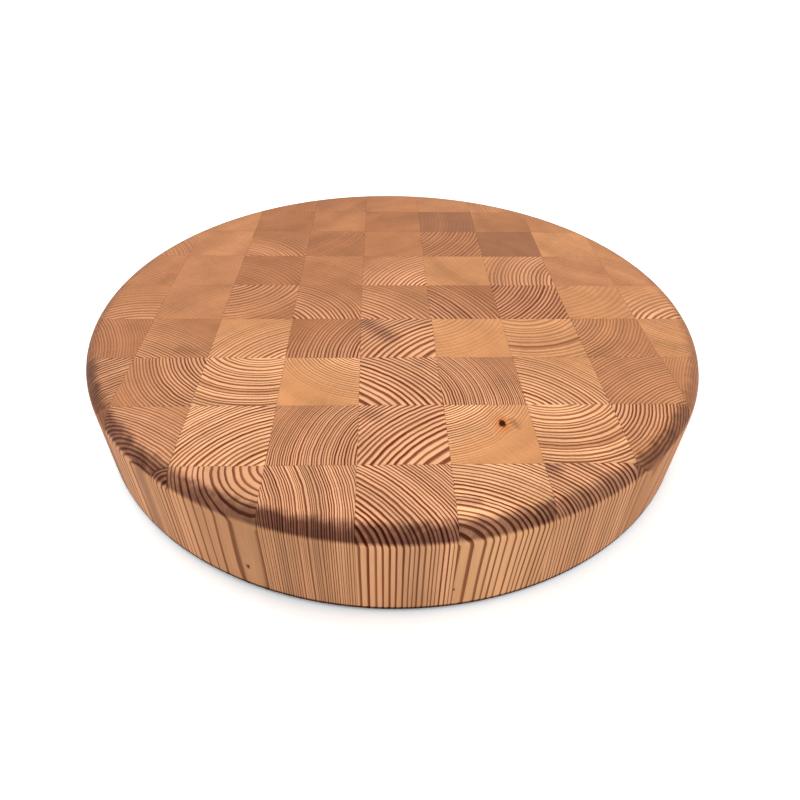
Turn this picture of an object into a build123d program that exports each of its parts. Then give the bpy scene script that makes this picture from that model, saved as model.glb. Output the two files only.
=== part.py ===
from build123d import *
import os
from math import hypot

# Round chopping block, end grain up. Square blocks are glued side by side into strips, the
# strips are glued edge to edge, and the slab is cut round with its top and bottom edges eased.
# Millimetres, +Z up. The origin is the centre of the underside, X runs along the strips, and
# the front is -Y. Strips count from the front, blocks along a strip from the left.

# The finished block
diameter = 400.0
thickness = 60.0
top_round = 10.0
bottom_round = 4.0

# Where the middle block's centre lies from the centre of the round cut
slab_offset_x = 0.6
slab_offset_y = -0.4

# How far the uncut slab stands past the finished top and underside
overrun = 10.0

# The blocks at one place along the strips came from one board, and the boards differ in width.
# There is one share of the usual block length for each board.
board_width_shares = (1, 0.95, 1.01, 0.98, 1.01, 1.01, 1.02, 0.97, 1)

# The strips differ in width too, and each was slid along a little before glueing. There is one
# share of the usual strip width, and one of the usual block length, for each strip.
strip_width_shares = (1, 1, 0.99, 0.97, 1, 1.02, 1, 0.92, 1.05)
strip_slide_shares = (0.007, 0.009, 0.002, -0.004, -0.013, -0.011, 0, 0.007, 0.004)

# The round cut takes this share of a block's length off each end of the longest strip, and
# this share of a strip's width off the front strip and the back one
end_trim_share = 0.15
side_trim_share = 0.055

# A piece smaller than this share of a whole block is one of the slivers at the rim's corners
sliver_share = 0.1

radius = diameter / 2
block_count = len(board_width_shares)
strip_count = len(strip_width_shares)
block_length = diameter / (block_count - 2 * end_trim_share)
strip_width = diameter / (strip_count - 2 * side_trim_share)
whole_block_volume = block_length * strip_width * thickness


def joint_lines(usual_width, shares, offset):
    """Where one edge of the slab, its glue joints in order and its other edge lie."""
    widths = [usual_width * share for share in shares]
    middle = len(widths) // 2
    first = offset - widths[middle] / 2 - sum(widths[:middle])
    return [first + sum(widths[:place]) for place in range(len(widths) + 1)]


def turned_disc():
    """The finished outside of the block as one solid, which each square block is cut to."""
    disc = Cylinder(radius, thickness, align=(Align.CENTER, Align.CENTER, Align.MIN))
    rims = disc.edges().filter_by(GeomType.CIRCLE).sort_by(Axis.Z)
    disc = fillet(rims[-1], top_round)
    rims = disc.edges().filter_by(GeomType.CIRCLE).sort_by(Axis.Z)
    return fillet(rims[0], bottom_round)


def uncut_block(x_low, x_high, y_low, y_high):
    """One square block of the slab, before the round cut and the planing."""
    height = thickness + 2 * overrun
    block = Box(x_high - x_low, y_high - y_low, height, align=(Align.MIN, Align.MIN, Align.MIN))
    return Pos(x_low, y_low, -overrun) * block


def node_name(piece, strip, block):
    """The piece's node: its own, or one shared by small pieces of the rim that lie together."""
    if piece.volume < sliver_share * whole_block_volume:
        return "front_corner_slivers" if piece.center().Y < 0 else "back_corner_slivers"
    if block == 1:
        return "left_end_blocks"
    if block == block_count:
        return "right_end_blocks"
    if strip == strip_count:
        return "back_strip_blocks"
    return f"strip_{strip}_block_{block}"


disc = turned_disc()
strip_lines = joint_lines(strip_width, strip_width_shares, slab_offset_y)
block_lines = joint_lines(block_length, board_width_shares, slab_offset_x)
nodes = {}
for strip in range(1, strip_count + 1):
    y_low, y_high = strip_lines[strip - 1], strip_lines[strip]
    slide = block_length * strip_slide_shares[strip - 1]
    for block in range(1, block_count + 1):
        x_low, x_high = block_lines[block - 1] + slide, block_lines[block] + slide
        nearest_point = hypot(max(x_low, -x_high, 0), max(y_low, -y_high, 0))
        if nearest_point < radius:
            piece = (disc & uncut_block(x_low, x_high, y_low, y_high)).solid()
            nodes.setdefault(node_name(piece, strip, block), []).append(piece)

os.makedirs("parts", exist_ok=True)
for name, pieces in nodes.items():
    node = pieces[0] if len(pieces) == 1 else Compound(children=pieces)
    node.label = name
    export_step(node, f"parts/{name}.step")
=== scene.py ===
from dataclasses import dataclass, replace
from math import cos, e, hypot, inf, pi, radians, sin

import bmesh
import bpy
from mathutils import Matrix, Vector


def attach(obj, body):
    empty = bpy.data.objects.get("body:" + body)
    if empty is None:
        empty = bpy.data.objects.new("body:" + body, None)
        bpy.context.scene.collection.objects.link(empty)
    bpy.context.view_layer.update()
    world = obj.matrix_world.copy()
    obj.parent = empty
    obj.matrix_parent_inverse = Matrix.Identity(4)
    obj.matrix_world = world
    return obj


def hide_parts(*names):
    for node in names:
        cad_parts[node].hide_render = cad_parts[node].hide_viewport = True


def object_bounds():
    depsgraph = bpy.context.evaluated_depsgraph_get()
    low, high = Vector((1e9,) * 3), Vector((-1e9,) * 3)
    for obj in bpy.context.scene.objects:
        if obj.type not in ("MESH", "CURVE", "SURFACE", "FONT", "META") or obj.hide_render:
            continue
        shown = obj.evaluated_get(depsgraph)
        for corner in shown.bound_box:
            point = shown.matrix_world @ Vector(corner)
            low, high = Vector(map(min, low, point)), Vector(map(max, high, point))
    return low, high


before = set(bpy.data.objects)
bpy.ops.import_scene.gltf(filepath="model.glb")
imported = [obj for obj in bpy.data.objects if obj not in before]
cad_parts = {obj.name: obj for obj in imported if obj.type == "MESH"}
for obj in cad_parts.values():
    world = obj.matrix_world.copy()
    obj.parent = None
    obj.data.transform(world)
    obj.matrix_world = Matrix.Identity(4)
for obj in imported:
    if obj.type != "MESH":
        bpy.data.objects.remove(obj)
cad_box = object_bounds()

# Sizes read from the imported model
millimetre = 0.001
radius = cad_box[1].x
thickness = cad_box[1].z
strip_count = 9
block_count = 9

# A flat face nearer the rim than this share of the radius is a facet of the wall, not a joint
joint_reach_share = 0.9
flat_face = 0.9999
same_joint = 1 * millimetre

# The turned disc
facets_round = 288
facets_top_round = 12
facets_bottom_round = 8


def colour(red, green, blue):
    """A colour as a screen shows it, each part from 0 to 255, in the linear numbers of a shader."""
    parts = [part / 255 for part in (red, green, blue)]
    return [((part + 0.055) / 1.055) ** 2.4 for part in parts]


# Mean tones of the oiled wood, from the palest blocks to the darkest
tones = {
    "pale": colour(224, 156, 104),
    "light": colour(214, 148, 99),
    "usual": colour(202, 137, 93),
    "tan": colour(193, 129, 86),
    "brown": colour(183, 120, 80),
    "dark": colour(170, 113, 79),
}


@dataclass(frozen=True)
class Look:
    """How one block's end grain looks. Places are across and back from the block's centre, in
    block sizes, and lie outside -0.5 to 0.5 where they are past its edges."""

    pith: tuple  # the centre of the rings
    ring: float  # the width of a ring at the block's centre, millimetres
    tone: str = "usual"
    lines: float = 0.7  # how strongly the dark late wood stands out
    narrowing: float = 0.01  # their narrowing over one block size, as a share but never 0
    late: float = 0.5  # the share of a ring that is late wood
    uneven: float = 0.4  # how much one ring's width differs from the next
    bold: tuple = (0, 0)  # the side towards which the lines grow bolder
    shade: tuple = (0, 0)  # by what share the wood grows paler across and back
    band: tuple = (0, 0)  # a dark growth band: how far it lies past the centre, and its strength
    smear: tuple = ((0, 0), (0, 0))  # the two ends of a grey-brown smear
    smear_width: float = 0.12
    smear_dark: float = 0.0
    knot: tuple = (0, 0)
    knot_size: float = 0.0  # millimetres
    knot_drop: float = 0.0  # how far below the top the knot lies, as a share of the thickness
    stretch: tuple = (1, 1)  # how much the rings are flattened across and back
    lean: tuple = (0, 0)  # how far the rings move across and back for each step upwards
    rim: float = 0.5  # how much darker the rounded rim is made
    board: int = 0  # the board of the glued panel, whose rings come back in each of its strips


def mirrored(look):
    """The same board in a strip that was turned over end for end before glueing."""
    (start_across, start_back), (end_across, end_back) = look.smear
    return replace(
        look,
        pith=(-look.pith[0], look.pith[1]),
        bold=(-look.bold[0], look.bold[1]),
        shade=(-look.shade[0], look.shade[1]),
        smear=((-start_across, start_back), (-end_across, end_back)),
        knot=(-look.knot[0], look.knot[1]),
        lean=(-look.lean[0], look.lean[1]),
    )


# Strips 2 to 4 were sawn from one glued panel, so the same boards come back in each of them, in
# turned order in strip 3
panel = {
    1: Look((-2.0, -0.95), 1.7, "brown", 0.3, bold=(-0.5, 0), board=1),
    2: Look((-1.1, -1.75), 1.9, "tan", 0.45, board=2),
    3: Look((0.9, -1.1), 2.45, "light", 0.95, narrowing=0.5, board=3),
    4: Look((1.4, -0.45), 1.35, "tan", 1.0, narrowing=0.4, uneven=0.8, bold=(0.3, -0.3), board=4),
    5: Look((1.35, -1.5), 3.2, "usual", 1.0, narrowing=0.75, late=0.48, rim=1.0, board=5),
    6: Look((-0.7, 1.0), 1.9, "pale", 0.25, bold=(-1.2, 1.3), board=6),
    7: Look(
        (-0.2, 1.05), 2.5, "light", 0.8, narrowing=0.2, uneven=1.1,
        band=(0.2, 1.0), shade=(0, 0.12), board=7,
    ),
    8: Look((-1.2, 0.8), 1.9, "tan", 0.65, narrowing=0.3, board=8),
    9: Look((-2.4, -2.4), 2.2, "usual", 0.6, board=9),
}


def turned_panel():
    """The panel's boards as a strip that was turned over end for end shows them."""
    return {block_count + 1 - place: mirrored(look) for place, look in panel.items()}


front_strip = {
    2: Look((0.45, -0.1), 1.9, "usual", 0.9, rim=0.9),
    3: Look(
        (0.7, 0.5), 2.5, "usual", 0.8, narrowing=0.9, late=0.36, stretch=(0.87, 1), rim=0.9,
        knot=(0.31, -0.15), knot_size=0.5, knot_drop=0.69,
    ),
    4: Look((-1.9, -0.4), 1.25, "usual", 0.95, uneven=0.8, rim=1.0),
    5: Look((-1.6, -1.4), 2.05, "usual", 1.2, narrowing=0.6, late=0.5, rim=1.0),
    6: Look(
        (-0.65, -1.3), 2.4, "light", 1.0, narrowing=0.4, late=0.45, lean=(0.05, 0), rim=0.9,
        smear=((-0.46, -0.02), (-0.28, -0.04)), smear_width=0.07, smear_dark=0.8,
        knot=(-0.49, -0.46), knot_size=0.5, knot_drop=0.72,
    ),
    7: Look(
        (-1.6, -1.4), 2.3, "usual", 1.0, narrowing=-0.4, lean=(-0.05, 0), rim=0.65,
        smear=((-0.48, 0.48), (-0.4, 0.42)), smear_width=0.1, smear_dark=1.0,
    ),
    8: Look((-0.2, 0.3), 1.8, "usual", 0.5, rim=0.8),
}

second_strip = {
    **panel,
    2: Look(
        (-1.2, -2.1), 1.8, "usual", 0.7, bold=(-0.3, -0.3), rim=0.9,
        smear=((0.07, -0.35), (0.1, -0.38)), smear_dark=0.8,
    ),
    5: replace(panel[5], smear=((-0.4, 0.35), (-0.3, 0.3)), smear_dark=0.5),
    6: replace(
        panel[6], pith=(-0.75, 1.1), ring=1.7, lines=0.32, bold=(-1.4, 1.5),
        knot=(0.15, 0.16), knot_size=1.9,
        smear=((0.28, 0.2), (0.32, 0.1)), smear_width=0.05, smear_dark=0.6,
    ),
    8: replace(panel[8], lines=0.6, bold=(-0.5, 0.6), lean=(0.05, 0.02), rim=0.8),
}

third_strip = {
    **turned_panel(),
    1: Look((2.4, -2.6), 2.2, "tan", 0.8, bold=(0, 0.5), rim=0.9),
    2: replace(mirrored(panel[8]), bold=(0.6, 0.2)),
    5: replace(
        mirrored(panel[5]), pith=(-1.3, -1.45), narrowing=0.7,
        smear=((0.25, 0.35), (0.25, 0.34)), smear_dark=0.35,
    ),
    7: replace(mirrored(panel[3]), lines=0.65, bold=(-0.3, -0.5)),
    9: replace(mirrored(panel[1]), tone="usual"),
}

fourth_strip = {
    **panel,
    2: Look(
        (-1.5, -2.45), 1.9, "tan", 0.35, bold=(-0.5, -0.8),
        smear=((0.1, -0.3), (0.25, -0.35)), smear_dark=0.5, board=2,
    ),
    3: Look((1.0, -1.25), 2.5, "light", 0.4, narrowing=0.4, bold=(0.3, -0.7), board=3),
    4: Look((1.6, -0.55), 2.2, "brown", 0.5, bold=(0.5, -0.6), board=4),
    5: replace(
        panel[5], ring=3.5, lines=0.85,
        smear=((-0.5, 0.5), (-0.12, 0.02)), smear_width=0.16, smear_dark=0.75,
    ),
    6: replace(panel[6], ring=3.2, lines=0.1, bold=(-0.6, 0.6)),
    7: replace(panel[7], ring=3.4, lines=0.32, band=(0.22, 1.0)),
    8: Look((-1.2, 0.85), 2.2, "tan", 0.35, bold=(-0.5, 0), board=8),
    9: Look((0.8, 1.4), 2.6, "light", 0.2),
}

fifth_strip = {
    1: Look((0.35, -1.3), 3.4, "tan", 0.25, bold=(0, -0.9), shade=(0.1, -0.12)),
    2: Look((1.25, -1.2), 3.0, "usual", 0.08),
    3: Look((-0.65, 0.85), 3.4, "tan", 0.4, bold=(-0.2, 0.5), shade=(-0.1, 0.1)),
    4: Look((-0.9, -0.85), 2.6, "tan", 0.5, narrowing=0.4, bold=(-0.3, -0.7)),
    5: Look((-1.3, -1.6), 3.2, "usual", 0.4, bold=(-0.4, -0.6), shade=(-0.06, -0.06)),
    6: Look((-1.95, -1.35), 3.0, "brown", 0.55, bold=(-0.5, -0.6)),
    7: Look((-1.85, 1.3), 2.6, "brown", 0.75),
    8: Look((-0.8, 1.05), 4.0, "light", 0.12, shade=(0.05, -0.04)),
    9: Look((0.5, -1.15), 3.5, "light", 0.35, bold=(0, -1.0)),
}

sixth_strip = {
    1: Look((-1.6, 1.4), 3.0, "tan", 0.15, smear=((0.35, -0.4), (0.4, -0.2)), smear_dark=0.3),
    2: Look((0.85, -1.2), 3.0, "usual", 0.07),
    3: Look((-0.8, -1.15), 3.0, "brown", 0.18),
    4: Look((-1.1, -1.75), 3.0, "tan", 0.15),
    5: Look((1.1, -0.95), 3.0, "usual", 0.45, bold=(0.5, -0.7), shade=(0.08, -0.13)),
    6: Look((1.5, 1.0), 3.0, "light", 0.07),
    7: Look((1.2, -0.5), 2.8, "usual", 0.45, bold=(0.4, -0.2)),
    8: Look((1.25, 2.2), 3.0, "usual", 0.1, shade=(0.06, 0.05)),
    9: Look((-1.4, -1.2), 2.4, "usual", 0.15),
}

seventh_strip = {
    1: Look((-1.4, -1.2), 3.0, "usual", 0.15),
    2: Look((-1.2, 0.45), 3.0, "usual", 0.07),
    3: Look((-0.7, -1.05), 3.0, "tan", 0.2, bold=(0, -0.9), shade=(0, -0.14)),
    4: Look((-1.4, 1.1), 3.0, "brown", 0.15),
    5: Look((-0.95, 1.1), 3.0, "tan", 0.07),
    6: Look((-1.8, 1.15), 3.0, "brown", 0.35, shade=(-0.05, 0.02)),
    7: Look((-0.9, -1.0), 3.0, "dark", 0.07),
    8: Look((1.6, 0.9), 3.0, "light", 0.1),
    9: Look((1.6, 0.9), 3.0, "light", 0.07),
}

eighth_strip = {
    1: Look((-1.4, 1.1), 3.0, "usual", 0.07),
    2: Look((-1.4, 1.1), 3.0, "usual", 0.07),
    3: Look((-0.4, 0.4), 3.0, "brown", 0.08, shade=(-0.08, 0.07)),
    4: Look((-1.6, 1.2), 3.0, "tan", 0.07, shade=(0.03, -0.08)),
    5: Look((0.5, -1.6), 3.0, "brown", 0.07, shade=(0.04, -0.02)),
    6: Look((-2.6, 0.1), 3.0, "dark", 0.07),
    7: Look((1.8, 0.7), 3.0, "tan", 0.07, shade=(-0.08, 0.06)),
    8: Look((1.8, 0.7), 3.0, "usual", 0.07),
    9: Look((1.8, 0.7), 3.0, "light", 0.07),
}

back_strip = {
    2: Look((-1.4, 1.1), 3.0, "usual", 0.07),
    3: Look((-2.0, 0.6), 3.0, "brown", 0.07),
    4: Look((-1.2, 1.0), 3.0, "brown", 0.15),
    5: Look((0.5, -1.6), 3.0, "tan", 0.07, shade=(0.12, 0.03)),
    6: Look((1.2, -1.3), 3.0, "usual", 0.07),
    7: Look((2.4, 0.3), 3.0, "usual", 0.15),
    8: Look((1.8, 0.7), 3.0, "light", 0.07),
}

looks = [
    front_strip,
    second_strip,
    third_strip,
    fourth_strip,
    fifth_strip,
    sixth_strip,
    seventh_strip,
    eighth_strip,
    back_strip,
]


# Where the joints lie


def joints_across(axis, low=-inf, high=inf):
    """Where the flat joint faces that cross an axis lie, in order. Only faces whose middle lies
    between low and high along the other axis count."""
    found = []
    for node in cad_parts.values():
        for face in node.data.polygons:
            place = face.center[axis]
            faces_along = abs(face.normal[axis]) > flat_face
            if faces_along and abs(place) < joint_reach_share * radius:
                if low < face.center[1 - axis] < high:
                    found.append(place)
    joints = []
    for place in sorted(found):
        if not joints or place - joints[-1] > same_joint:
            joints.append(place)
    return joints


def node_of(strip, block):
    """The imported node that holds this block."""
    own_node = f"strip_{strip}_block_{block}"
    if own_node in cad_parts:
        return own_node
    if strip == strip_count and 3 <= block <= block_count - 2:
        return "back_strip_blocks"
    if 3 <= strip <= strip_count - 2:
        return "left_end_blocks" if block == 1 else "right_end_blocks"
    return "front_corner_slivers" if strip <= 2 else "back_corner_slivers"


# The turned disc and its blocks


def flat_radius(height):
    """How far the flat face at this height reaches before the rim rounds over."""
    return max(
        hypot(vertex.co.x, vertex.co.y)
        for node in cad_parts.values()
        for vertex in node.data.vertices
        if abs(vertex.co.z - height) < millimetre / 100
    )


top_round = radius - flat_radius(thickness)
bottom_round = radius - flat_radius(0)


def quarter_round(centre_distance, centre_height, size, start, facets):
    """Points of a quarter circle, as distances from the axis and heights, from the angle start."""
    points = []
    for step in range(facets + 1):
        angle = start + pi / 2 * step / facets
        points.append((centre_distance + size * cos(angle), centre_height + size * sin(angle)))
    return points


def turned_disc():
    """The whole disc in one mesh, with flat faces above and below."""
    low_round = quarter_round(
        radius - bottom_round, bottom_round, bottom_round, -pi / 2, facets_bottom_round
    )
    high_round = quarter_round(
        radius - top_round, thickness - top_round, top_round, 0, facets_top_round
    )
    disc = bmesh.new()
    rings = []
    for distance, height in low_round + high_round:
        ring = []
        for step in range(facets_round):
            angle = 2 * pi * step / facets_round
            ring.append(disc.verts.new((distance * cos(angle), distance * sin(angle), height)))
        rings.append(ring)
    for low_ring, high_ring in zip(rings, rings[1:]):
        for step in range(facets_round):
            after = (step + 1) % facets_round
            corners = (low_ring[step], low_ring[after], high_ring[after], high_ring[step])
            disc.faces.new(corners).smooth = True
    disc.faces.new(reversed(rings[0]))
    disc.faces.new(rings[-1])
    return disc


def cut(mesh, axis, place, keep_above):
    """Saws the mesh at a place along an axis, keeps one side and closes it with a flat face."""
    normal = Vector((0, 0, 0))
    normal[axis] = -1 if keep_above else 1
    point = Vector((0, 0, 0))
    point[axis] = place
    whole = mesh.verts[:] + mesh.edges[:] + mesh.faces[:]
    result = bmesh.ops.bisect_plane(
        mesh, geom=whole, plane_co=point, plane_no=normal, clear_outer=True
    )
    edges = [item for item in result["geom_cut"] if isinstance(item, bmesh.types.BMEdge)]
    for edge in edges:
        edge.smooth = False
    bmesh.ops.edgeloop_fill(mesh, edges=edges)


def between(mesh, axis, low, high):
    """A copy of the mesh, cut down to what lies between two places along an axis."""
    part = mesh.copy()
    if low > -inf:
        cut(part, axis, low, keep_above=True)
    if high < inf:
        cut(part, axis, high, keep_above=False)
    return part


def block_piece(name, mesh, material):
    """The finished piece of one block, with even shading round its rims and sharp joints."""
    bmesh.ops.recalc_face_normals(mesh, faces=mesh.faces)
    data = bpy.data.meshes.new(name)
    mesh.to_mesh(data)
    mesh.free()
    data.materials.append(material)
    piece = bpy.data.objects.new(name, data)
    bpy.context.scene.collection.objects.link(piece)
    shading = piece.modifiers.new("even shading", "WEIGHTED_NORMAL")
    shading.keep_sharp = True
    return piece


def describe(piece, look, strip, block, cell):
    """Writes the block's own rings, tone and marks on its piece, in millimetres, where the wood's
    material reads them."""
    (x_low, x_high), (y_low, y_high) = cell
    centre = Vector(((x_low + x_high) / 2, (y_low + y_high) / 2, thickness)) / millimetre
    size = Vector((x_high - x_low, y_high - y_low, 0)) / millimetre

    def at(place):
        return centre + Vector((place[0] * size.x, place[1] * size.y, 0))

    pith = at(look.pith)
    arm = Vector(look.pith) * Vector(look.stretch)
    reach = hypot(arm[0] * size.x, arm[1] * size.y)
    knot = at(look.knot)
    knot.z -= look.knot_drop * thickness / millimetre
    piece["tone"] = tones[look.tone]
    piece["seed"] = float(strip * (block_count + 1) + block)
    piece["ring_seed"] = float(look.board or piece["seed"])
    piece["block_centre"] = centre
    piece["block_size"] = size
    piece["pith"] = pith
    piece["pith_lean"] = (*look.lean, 0.0)
    piece["ring_stretch"] = (*[float(part) for part in look.stretch], 0.0)
    piece["reach"] = reach
    piece["rim"] = look.rim
    piece["ring_width"] = (look.ring, look.narrowing, look.uneven)
    piece["ring_lines"] = (look.lines, look.late, 0.0)
    piece["bold_side"] = (*[float(part) for part in look.bold], 0.0)
    piece["shade"] = (*[float(part) for part in look.shade], 0.0)
    piece["growth_band"] = (look.band[0] * size.x, look.band[1], 0.0)
    piece["smear_start"] = at(look.smear[0])
    piece["smear_end"] = at(look.smear[1])
    piece["smear_look"] = (look.smear_width * size.x, look.smear_dark, 0.0)
    piece["knot"] = knot
    piece["knot_size"] = look.knot_size


# The wood's material


class Wiring:
    """Short calls for the nodes of one material. An input is a number, a vector or another
    node's output, and a colour is a vector of three parts."""

    def __init__(self, material):
        material.use_nodes = True
        self.tree = material.node_tree
        self.shader = self.tree.nodes["Principled BSDF"]

    def node(self, kind, inputs, **settings):
        made = self.tree.nodes.new(kind)
        for name, value in settings.items():
            setattr(made, name, value)
        for name, value in inputs.items():
            self.feed(made.inputs[name], value)
        return made

    def feed(self, socket, value):
        if isinstance(value, bpy.types.NodeSocket):
            self.tree.links.new(value, socket)
        else:
            socket.default_value = value

    def number(self, operation, *values):
        return self.node("ShaderNodeMath", dict(enumerate(values)), operation=operation).outputs[0]

    def clamped(self, value, low, high):
        return self.node("ShaderNodeClamp", {0: value, 1: low, 2: high}).outputs[0]

    def vector(self, operation, *values):
        node = self.node("ShaderNodeVectorMath", dict(enumerate(values)), operation=operation)
        gives_number = operation in ("LENGTH", "DOT_PRODUCT")
        return node.outputs["Value" if gives_number else "Vector"]

    def scaled(self, vector, number):
        inputs = {0: vector, 3: number}
        return self.node("ShaderNodeVectorMath", inputs, operation="SCALE").outputs[0]

    def parts(self, vector):
        return self.node("ShaderNodeSeparateXYZ", {0: vector}).outputs

    def blend(self, share, first, second):
        """From the first vector to the second, as share goes from 0 to 1."""
        inputs = {0: share, 4: first, 5: second}
        return self.node("ShaderNodeMix", inputs, data_type="VECTOR").outputs[1]

    def ramp(self, value, start, end):
        """Goes smoothly from 0 where the value is start to 1 where it is end."""
        inputs = {0: value, 1: start, 2: end}
        return self.node("ShaderNodeMapRange", inputs, interpolation_type="SMOOTHSTEP").outputs[0]

    def noise(self, place, sizes, detail=0.0, roughness=0.5):
        """A soft random pattern between 0 and 1 whose marks have these sizes."""
        place = self.vector("DIVIDE", place, sizes)
        inputs = {"Vector": place, "Scale": 1.0, "Detail": detail, "Roughness": roughness}
        return self.node("ShaderNodeTexNoise", inputs).outputs[0]

    def noise_along(self, value, detail=0.0):
        """A soft random curve between 0 and 1 along a number."""
        inputs = {"W": value, "Scale": 1.0, "Detail": detail}
        return self.node("ShaderNodeTexNoise", inputs, noise_dimensions="1D").outputs[0]

    def swing(self, pattern, amount):
        """Turns a pattern between 0 and 1 into a number that swings about 0."""
        return self.number("MULTIPLY", self.number("SUBTRACT", pattern, 0.5), amount)

    def about_one(self, pattern, amount):
        """Turns a pattern between 0 and 1 into a factor that swings about 1."""
        return self.number("ADD", self.swing(pattern, amount), 1.0)

    def own(self, name, output="Vector"):
        """What a piece says about itself under this name."""
        node = self.node(
            "ShaderNodeAttribute", {}, attribute_type="OBJECT", attribute_name=name
        )
        return node.outputs[output]


# Sizes of the wood's patterns across the grain and along it, millimetres
wave_sizes = (26.0, 26.0, 260.0)
patch_sizes = (14.0, 14.0, 90.0)
cloud_sizes = (24.0, 24.0, 120.0)
fibre_sizes = (0.45, 0.45, 16.0)
knot_edge_sizes = (1.2, 1.2, 1.2)
smear_edge_sizes = (3.0, 3.0, 12.0)
rim_edge_sizes = (6.0, 6.0, 6.0)
rim_patch_sizes = (5.0, 5.0, 5.0)
ray_width = 0.6
ray_length = 7.0
unscaled = (1.0, 1.0, 1.0)

# How far the rings stray from circles, millimetres, and how fine and rough their waves are
wave_height = 2.2
wave_detail = 3.0
wave_roughness = 0.66

# How far a knot pushes the rings aside and how far out it does so, both in sizes of the knot, and
# what a step across, back and down counts for: the knot is longest downwards
knot_push = 1.2
knot_push_reach = 5.0
knot_shape = (1.0, 0.6, 0.5)

# How much one ring's width differs from the next, how soon that changes from ring to ring, and the
# least share of their width at the block's centre that narrowing rings keep
ring_jitter = 1.2
ring_jitter_rate = 0.45
least_ring_share = 0.1

# Late wood sets in its own share before this place in a ring, is full half that share later, and
# fades from the second place to the ring's end
late_end = 0.96
late_fade_start = 0.94

# By what share late wood can set in sooner, by what share it is thinner and softer on the wall,
# and by what share one ring's late wood can be paler than another's
late_sooner = 0.5
late_thinner_on_wall = 0.35
lines_softer_on_wall = 0.25
late_paler = 0.2

# How far one board's late wood lies from another's in the same row of chances
board_step = 17.0

# How much patches swing the boldness of the lines, how fast a bold side changes it across the
# block, and how many times bolder it can make them
patch_swing = 0.7
bold_slope = 2.0
boldest = 4.0

# How much light and dark the broad growth bands, clouds, fibres and rays bring, and how fast the
# growth bands change from ring to ring
years_swing = 0.4
years_rate = 0.13
cloud_swing = 0.45
fibre_swing = 0.3
ray_swing = 0.2

# Where a dark growth band ends and is full, millimetres from its middle
band_edge = 2.4
band_core = 0.4

# How ragged a smear's edge is, millimetres, and how many of its widths it fades over
smear_ragged = 4.0
smear_reach = 1.5

# How ragged a knot is, how far out its halo ends, where its dark edge starts and where that is
# full, all in sizes of the knot, and the least size, millimetres, for blocks that have none
knot_ragged = 1.2
halo_end = 3.2
knot_edge = 1.2
knot_core = 0.7
least_knot = 0.001

# How far a joint's dark line reaches, millimetres, and how dark it is
joint_reach = 0.4
joint_dark = 0.5

# The oiled finish: how little it mirrors, how rough it is, and how much smoother late wood is
mirror_level = 0.04
finish_rough = 0.5
late_smoother = 0.08
fibre_rough_swing = 0.1

# How far late wood and fibres stand out, millimetres
late_relief = 0.02
fibre_relief = 0.02

# How far one block's patterns lie from the next one's in the same noise, millimetres
pattern_step = (61.0, 37.0, 0.0)

# How early and late wood differ from a block's mean tone where its lines are boldest
early_tint = (1.75, 2.12, 2.6)
late_tint = (0.28, 0.08, 0.0)

# What changes the wood's colour in places, as factors
plain = (1.0, 1.0, 1.0)
band_tint = (0.6, 0.5, 0.45)
smear_tint = (0.5, 0.46, 0.5)
rim_tint = (0.27, 0.22, 0.25)
# Painted shade: the foot's rounding is darkened where the contact shadow under the block falls
foot_shade_tint = (0.16, 0.14, 0.15)
wall_tint = (1.0, 1.0, 0.96)
joint_tint = (0.6, 0.5, 0.45)
knot_tint = (0.07, 0.04, 0.03)
halo_tint = (1.02, 0.8, 0.62)


def knot_distance(wire, place, moved):
    """How far away the block's knot is, in sizes of the knot, and that size."""
    away = wire.vector("SUBTRACT", place, wire.own("knot"))
    away = wire.vector("LENGTH", wire.vector("MULTIPLY", away, knot_shape))
    ragged = wire.swing(wire.noise(moved, knot_edge_sizes, 2.0), knot_ragged)
    size = wire.number("MAXIMUM", wire.own("knot_size", "Fac"), least_knot)
    return wire.number("ADD", wire.number("DIVIDE", away, size), ragged), size


def ring_distance(wire, place, moved, knot_away, knot_size):
    """How far a point lies from the block's pith, and the straight way there. The pith leans,
    the rings wave, and they bend round a knot."""
    arm = wire.vector("SUBTRACT", place, wire.own("pith"))
    lean = wire.scaled(wire.own("pith_lean"), wire.parts(arm)[2])
    arm = wire.vector("SUBTRACT", arm, lean)
    arm = wire.vector("MULTIPLY", arm, wire.own("ring_stretch"))
    waves = wire.swing(wire.noise(moved, wave_sizes, wave_detail, wave_roughness), wave_height)
    bend = wire.number("MULTIPLY", wire.ramp(knot_away, knot_push_reach, 0.0), knot_size)
    distance = wire.number("ADD", wire.vector("LENGTH", arm), waves)
    return wire.number("MULTIPLY_ADD", bend, knot_push, distance), arm


def ring_count(wire, past_centre, ring_seed):
    """How many rings a point lies past the block's centre, where their width falls evenly
    outwards and differs a little from ring to ring."""
    width, narrowing, uneven = wire.parts(wire.own("ring_width"))
    size = wire.parts(wire.own("block_size"))[0]
    fallen = wire.number("MULTIPLY", narrowing, wire.number("DIVIDE", past_centre, size))
    left = wire.number("MAXIMUM", wire.number("SUBTRACT", 1.0, fallen), least_ring_share)
    rings_of_size = wire.number("DIVIDE", size, wire.number("MULTIPLY", width, narrowing))
    count = wire.number("MULTIPLY", wire.number("LOGARITHM", left, e), rings_of_size)
    count = wire.number("MULTIPLY", count, -1.0)
    jitter = wire.noise_along(wire.number("MULTIPLY_ADD", count, ring_jitter_rate, ring_seed))
    return wire.number("MULTIPLY_ADD", wire.swing(jitter, ring_jitter), uneven, count)


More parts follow.
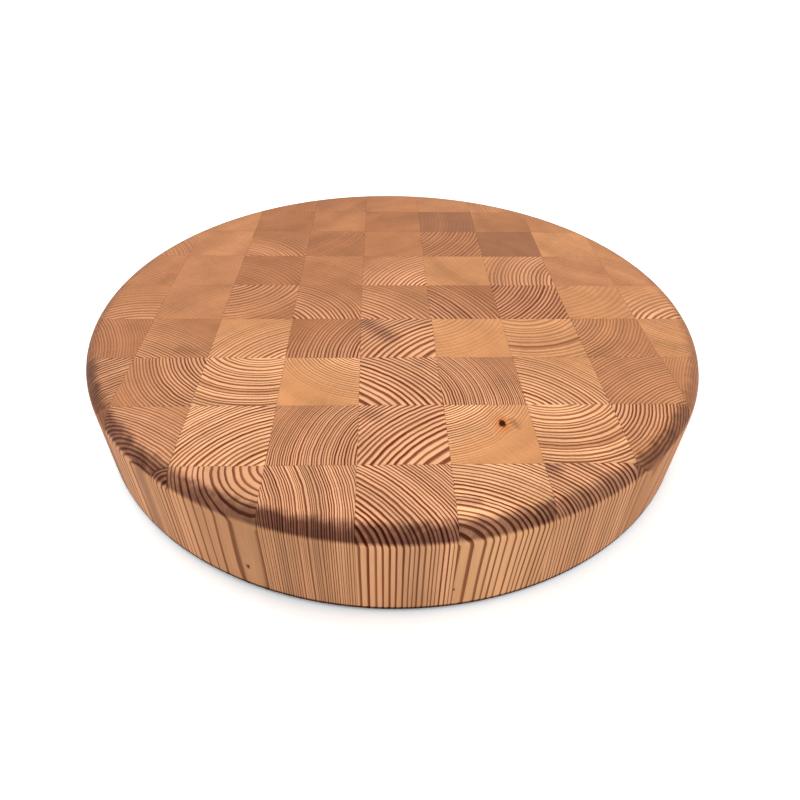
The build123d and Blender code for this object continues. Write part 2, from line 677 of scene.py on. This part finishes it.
def late_wood(wire, count, ring_seed, wall):
    """The dark late wood of each ring, from 0 to 1: it sets in softly and ends sharply. It is
    thinner along the grain, on the wall."""
    ring = wire.number("MULTIPLY_ADD", ring_seed, board_step, wire.number("FLOOR", count))
    chances = wire.node("ShaderNodeTexWhiteNoise", {"W": ring}, noise_dimensions="1D")
    start_chance, dark_chance, _ = wire.parts(chances.outputs["Color"])
    share = wire.parts(wire.own("ring_lines"))[1]
    sooner = wire.number("MULTIPLY_ADD", start_chance, late_sooner, 1.0)
    thinner = wire.number("MULTIPLY_ADD", wall, -late_thinner_on_wall, 1.0)
    share = wire.number("MULTIPLY", wire.number("MULTIPLY", share, sooner), thinner)
    start = wire.number("SUBTRACT", late_end, share)
    grown = wire.number("FRACT", count)
    full = wire.number("MULTIPLY_ADD", share, 0.5, start)
    late = wire.ramp(grown, start, full)
    late = wire.number("MULTIPLY", late, wire.ramp(grown, 1.0, late_fade_start))
    dark = wire.number("MULTIPLY_ADD", dark_chance, late_paler, 1.0 - late_paler)
    return wire.number("MULTIPLY", late, dark)


def line_strength(wire, across_block, moved, wall):
    """How strongly the lines show at a point: 0 is not at all, and 1 and above is in full. They
    are softer on the wall."""
    strength = wire.parts(wire.own("ring_lines"))[0]
    softer = wire.number("MULTIPLY_ADD", wall, -lines_softer_on_wall, 1.0)
    strength = wire.number("MULTIPLY", strength, softer)
    bold = wire.vector("DOT_PRODUCT", across_block, wire.own("bold_side"))
    bold = wire.clamped(wire.number("MULTIPLY_ADD", bold, bold_slope, 1.0), 0.0, boldest)
    patches = wire.about_one(wire.noise(moved, patch_sizes, 1.0), patch_swing)
    return wire.number("MULTIPLY", wire.number("MULTIPLY", strength, bold), patches)


def smear_share(wire, place, moved):
    """How much of the block's grey-brown smear covers a point: a soft line between two ends."""
    start, end = wire.own("smear_start"), wire.own("smear_end")
    width, dark, _ = wire.parts(wire.own("smear_look"))
    run = wire.vector("SUBTRACT", end, start)
    arm = wire.vector("MULTIPLY", wire.vector("SUBTRACT", place, start), (1.0, 1.0, 0.0))
    along = wire.number(
        "DIVIDE", wire.vector("DOT_PRODUCT", arm, run), wire.vector("DOT_PRODUCT", run, run)
    )
    nearest = wire.scaled(run, wire.clamped(along, 0.0, 1.0))
    away = wire.vector("LENGTH", wire.vector("SUBTRACT", arm, nearest))
    ragged = wire.swing(wire.noise(moved, smear_edge_sizes, 2.0), smear_ragged)
    edge = wire.number("MULTIPLY", width, smear_reach)
    share = wire.ramp(wire.number("ADD", away, ragged), edge, 0.0)
    return wire.number("MULTIPLY", share, dark)


def joint_share(wire, across_block):
    """How close a point lies to the block's joints: 1 on the joint, 0 a little way off."""
    size_x, size_y, _ = wire.parts(wire.own("block_size"))
    across, back, _ = wire.parts(across_block)
    gaps = []
    for share, size in ((across, size_x), (back, size_y)):
        inward = wire.number("SUBTRACT", 0.5, wire.number("ABSOLUTE", share))
        gaps.append(wire.number("MULTIPLY", inward, size))
    return wire.ramp(wire.number("MINIMUM", *gaps), joint_reach, 0.0)


# Where the upright wall shows its long grain, between the darker rim and the foot, and how far
# in the dark of the rim starts and is full, millimetres
rim_line = thickness / millimetre - 6.3
foot_line = 4.5
rim_dark_start = 11.0
rim_dark_full = 4.0

# Half the height over which the wall turns into the rim and into the foot, millimetres, and how
# ragged and how mottled the rim's dark is
rim_soft = 1.4
foot_soft = 0.6
rim_ragged = 7.0
rim_mottled = 0.5


def inward_distance(wire, place):
    """How far in from the wall a point lies."""
    from_axis = wire.vector("LENGTH", wire.vector("MULTIPLY", place, (1.0, 1.0, 0.0)))
    return wire.number("SUBTRACT", radius / millimetre, from_axis)


def darker_rim(wire, height, inward, moved):
    """Where the rounded rim is made darker: fairly sharp against the wall, soft and mottled
    towards the top."""
    ragged = wire.swing(wire.noise(moved, rim_edge_sizes, 2.0), rim_ragged)
    inward = wire.number("ADD", inward, ragged)
    patches = wire.about_one(wire.noise(moved, rim_patch_sizes, 1.0), rim_mottled)
    return wire.number(
        "MULTIPLY",
        wire.number("MULTIPLY", wire.ramp(inward, rim_dark_start, rim_dark_full), patches),
        wire.ramp(height, rim_line - rim_soft, rim_line + rim_soft),
    )


def long_grain(wire, height):
    """1 on the upright wall, which shows the wood along its grain, and 0 above and below."""
    return wire.number(
        "MULTIPLY",
        wire.ramp(height, foot_line - foot_soft, foot_line + foot_soft),
        wire.ramp(height, rim_line + rim_soft, rim_line - rim_soft),
    )


def painted_foot_shade(wire, height, inward):
    """1 on the rounding of the foot, where shade is painted dark, and 0 on the wall above and the
    flat underside.
    """
    return wire.number(
        "MULTIPLY",
        wire.ramp(height, foot_line + foot_soft, foot_line - foot_soft),
        wire.ramp(inward, bottom_round / millimetre, bottom_round / millimetre / 2),
    )


def tinted(wire, tone, share, tint):
    """The tone changed by a tint where share is 1, and left as it is where share is 0."""
    return wire.vector("MULTIPLY", tone, wire.blend(share, plain, tint))


def brightened(wire, tone, pattern, amount):
    """The tone made lighter and darker by a pattern."""
    return wire.scaled(tone, wire.about_one(pattern, amount))


def end_grain_wood():
    """Oiled softwood seen on its end grain, which reads each block's own look."""
    material = bpy.data.materials.new("end_grain_wood")
    wire = Wiring(material)
    here = wire.node("ShaderNodeTexCoord", {}).outputs["Object"]
    place = wire.scaled(here, 1 / millimetre)
    height = wire.parts(place)[2]
    seed = wire.own("seed", "Fac")
    ring_seed = wire.own("ring_seed", "Fac")
    moved = wire.vector("ADD", place, wire.scaled(pattern_step, seed))
    wall = long_grain(wire, height)

    # The rings
    knot_away, knot_size = knot_distance(wire, place, moved)
    distance, arm = ring_distance(wire, place, moved, knot_away, knot_size)
    reach = wire.own("reach", "Fac")
    past_centre = wire.number("SUBTRACT", distance, reach)
    count = ring_count(wire, past_centre, ring_seed)
    late = late_wood(wire, count, ring_seed, wall)
    across_block = wire.vector("SUBTRACT", place, wire.own("block_centre"))
    across_block = wire.vector("DIVIDE", across_block, wire.own("block_size"))
    strength = line_strength(wire, across_block, moved, wall)

    # Early and late wood
    tone = wire.own("tone")
    early = wire.vector("MULTIPLY", tone, wire.blend(strength, plain, early_tint))
    dark = wire.vector("MULTIPLY", tone, wire.blend(strength, plain, late_tint))
    wood = wire.blend(late, early, dark)

    # Broad growth bands, clouds, fibres and the rays that cross the rings
    years = wire.noise_along(wire.number("MULTIPLY_ADD", count, years_rate, ring_seed), 1.0)
    wood = brightened(wire, wood, years, years_swing)
    wood = brightened(wire, wood, wire.noise(moved, cloud_sizes, 2.0), cloud_swing)
    fibres = wire.noise(moved, fibre_sizes, 1.0)
    wood = brightened(wire, wood, fibres, fibre_swing)
    around = wire.scaled(wire.vector("NORMALIZE", arm), wire.number("DIVIDE", reach, ray_width))
    outwards = wire.node("ShaderNodeCombineXYZ", {2: wire.number("DIVIDE", distance, ray_length)})
    rays = wire.noise(wire.vector("ADD", around, outwards.outputs[0]), unscaled)
    wood = brightened(wire, wood, rays, ray_swing)
    shade = wire.vector("DOT_PRODUCT", across_block, wire.own("shade"))
    wood = wire.scaled(wood, wire.number("ADD", shade, 1.0))

    # Marks of the single block
    band_past, band_dark, _ = wire.parts(wire.own("growth_band"))
    off_band = wire.number("ABSOLUTE", wire.number("SUBTRACT", past_centre, band_past))
    band = wire.number("MULTIPLY", wire.ramp(off_band, band_edge, band_core), band_dark)
    wood = tinted(wire, wood, band, band_tint)
    wood = tinted(wire, wood, smear_share(wire, place, moved), smear_tint)
    halo = wire.ramp(knot_away, halo_end, knot_edge)
    halo = wire.number("MULTIPLY", halo, wire.clamped(knot_size, 0.0, 1.0))
    wood = tinted(wire, wood, halo, halo_tint)
    wood = tinted(wire, wood, wire.ramp(knot_away, knot_edge, knot_core), knot_tint)

    # The wall, the rim and the joints
    wood = tinted(wire, wood, wall, wall_tint)
    inward = inward_distance(wire, place)
    rim = darker_rim(wire, height, inward, moved)
    rim = wire.number("MULTIPLY", rim, wire.own("rim", "Fac"))
    wood = tinted(wire, wood, rim, rim_tint)
    # Painted shade on the foot's rounding, where the block meets the floor
    wood = tinted(wire, wood, painted_foot_shade(wire, height, inward), foot_shade_tint)
    joint = wire.number("MULTIPLY", joint_share(wire, across_block), joint_dark)
    wood = tinted(wire, wood, joint, joint_tint)
    wire.feed(wire.shader.inputs["Base Color"], wood)
    wire.shader.inputs["Specular IOR Level"].default_value = mirror_level

    # A satin oiled finish, a little smoother on the hard late wood
    rough = wire.number("MULTIPLY_ADD", late, -late_smoother, finish_rough)
    rough = wire.number("ADD", rough, wire.swing(fibres, fibre_rough_swing))
    wire.feed(wire.shader.inputs["Roughness"], rough)
    relief = wire.number("MULTIPLY", late, late_relief)
    relief = wire.number("MULTIPLY_ADD", fibres, fibre_relief, relief)
    bump = wire.node("ShaderNodeBump", {"Height": relief, "Distance": millimetre, "Strength": 1.0})
    wire.feed(wire.shader.inputs["Normal"], bump.outputs[0])
    return material


# The blocks


def usual_size(joints):
    """The distance between two joints, taken over all of them."""
    return (joints[-1] - joints[0]) / (len(joints) - 1)


def cells(joints, usual):
    """The stretches between joints in order, with outer ones that run past the rim, each with
    the limits that its patterns are measured by."""
    limits = [-inf, *joints, inf]
    measured = [joints[0] - usual, *joints, joints[-1] + usual]
    return list(zip(zip(limits, limits[1:]), zip(measured, measured[1:])))


wood = end_grain_wood()
disc = turned_disc()
strip_joints = joints_across(1)
strip_cells = cells(strip_joints, usual_size(strip_joints))
for strip, ((y_low, y_high), strip_measure) in enumerate(strip_cells, 1):
    sawn_strip = between(disc, 1, y_low, y_high)
    block_joints = joints_across(0, y_low, y_high)
    block_cells = cells(block_joints, usual_size(block_joints))
    first_block = 1 + (block_count - len(block_cells)) // 2
    for block, ((x_low, x_high), block_measure) in enumerate(block_cells, first_block):
        sawn_block = between(sawn_strip, 0, x_low, x_high)
        piece = block_piece(f"wood_strip_{strip}_block_{block}", sawn_block, wood)
        look = looks[strip - 1][block]
        describe(piece, look, strip, block, (block_measure, strip_measure))
        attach(piece, "root")
        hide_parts(node_of(strip, block))
    sawn_strip.free()
disc.free()


# The studio


# The floor as it lights the block, as gloss shows it and as the camera sees it: so bright that
# only its shadow shows
floor_bounce = (0.65, 0.65, 0.65)
floor_gloss = (1.0, 1.0, 1.0)
floor_seen = (1.6, 1.68, 1.72)
floor_drop = millimetre / 10
floor_radius = 20 * radius

# The light from all round, as a share of a plain white world's
world_level = 0.65

# The camera, fitted to the outline and the glue joints: metres, degrees and millimetres of lens
camera_place = (-0.0107, -0.3591, 0.2720)
camera_heading = 2.5
camera_tilt = 39.99
camera_roll = 1.34
camera_lens = 26.72
camera_sensor = 36
camera_near = 0.01


def stage_floor():
    """A wide pale floor that runs out past the camera's view."""
    sheet = bmesh.new()
    bmesh.ops.create_circle(sheet, cap_ends=True, segments=64, radius=floor_radius)
    data = bpy.data.meshes.new("studio_floor")
    sheet.to_mesh(data)
    sheet.free()
    floor = bpy.data.objects.new("studio_floor", data)
    floor.location.z = -floor_drop
    bpy.context.scene.collection.objects.link(floor)
    material = bpy.data.materials.new("studio_white")
    wire = Wiring(material)
    path = wire.node("ShaderNodeLightPath", {}).outputs
    gloss = wire.number("MAXIMUM", path["Is Glossy Ray"], path["Is Transmission Ray"])
    paint = wire.blend(gloss, floor_bounce, floor_gloss)
    paint = wire.blend(path["Is Camera Ray"], paint, floor_seen)
    matt = wire.node("ShaderNodeBsdfDiffuse", {"Color": paint})
    wire.feed(wire.tree.nodes["Material Output"].inputs["Surface"], matt.outputs[0])
    data.materials.append(material)


def studio_world(level):
    """Even light from all round, which the camera and the block's gloss see as white."""
    world = bpy.data.worlds.new("studio")
    bpy.context.scene.world = world
    world.use_nodes = True
    tree = world.node_tree
    path = tree.nodes.new("ShaderNodeLightPath")
    seen = path.outputs["Is Camera Ray"]
    for kind in ("Is Glossy Ray", "Is Transmission Ray"):
        either = tree.nodes.new("ShaderNodeMath")
        either.operation = "MAXIMUM"
        tree.links.new(seen, either.inputs[0])
        tree.links.new(path.outputs[kind], either.inputs[1])
        seen = either.outputs[0]
    strength = tree.nodes.new("ShaderNodeMapRange")
    tree.links.new(seen, strength.inputs["Value"])
    strength.inputs["To Min"].default_value = level
    strength.inputs["To Max"].default_value = 1
    background = tree.nodes["Background"]
    background.inputs["Color"].default_value = (1, 1, 1, 1)
    tree.links.new(strength.outputs[0], background.inputs["Strength"])


def softbox(name, place, size, level):
    """A square lamp aimed at the block. Level is the light it gives a surface that faces it,
    where 1 shows a white surface as white."""
    lamp = bpy.data.lights.new(name, "AREA")
    lamp.shape = "SQUARE"
    lamp.size = size
    lamp.energy = level * pi**2 * place.length_squared
    lamp_object = bpy.data.objects.new(name, lamp)
    lamp_object.location = place
    lamp_object.rotation_mode = "QUATERNION"
    lamp_object.rotation_quaternion = (-place).to_track_quat("-Z", "Y")
    bpy.context.scene.collection.objects.link(lamp_object)


def photograph_camera():
    """The camera where the photographer's stood: over the front rim, looking down and back."""
    camera = bpy.data.cameras.new("camera")
    camera.sensor_width = camera_sensor
    camera.lens = camera_lens
    camera.clip_start = camera_near
    turned = (
        Matrix.Rotation(-radians(camera_heading), 4, "Z")
        @ Matrix.Rotation(pi / 2 - radians(camera_tilt), 4, "X")
        @ Matrix.Rotation(radians(camera_roll), 4, "Z")
    )
    stand = bpy.data.objects.new("camera", camera)
    stand.matrix_world = Matrix.Translation(camera_place) @ turned
    bpy.context.scene.collection.objects.link(stand)
    bpy.context.scene.camera = stand


stage_floor()
studio_world(world_level)
softbox("key_light", Vector((-0.9, 0.7, 1.1)), 0.9, 0.25)
softbox("left_light", Vector((-1.4, 0.1, 0.5)), 1.2, 0.13)
softbox("right_light", Vector((1.4, -0.3, 0.8)), 1.2, 0.26)
photograph_camera()
bpy.context.scene.view_settings.view_transform = "Standard"
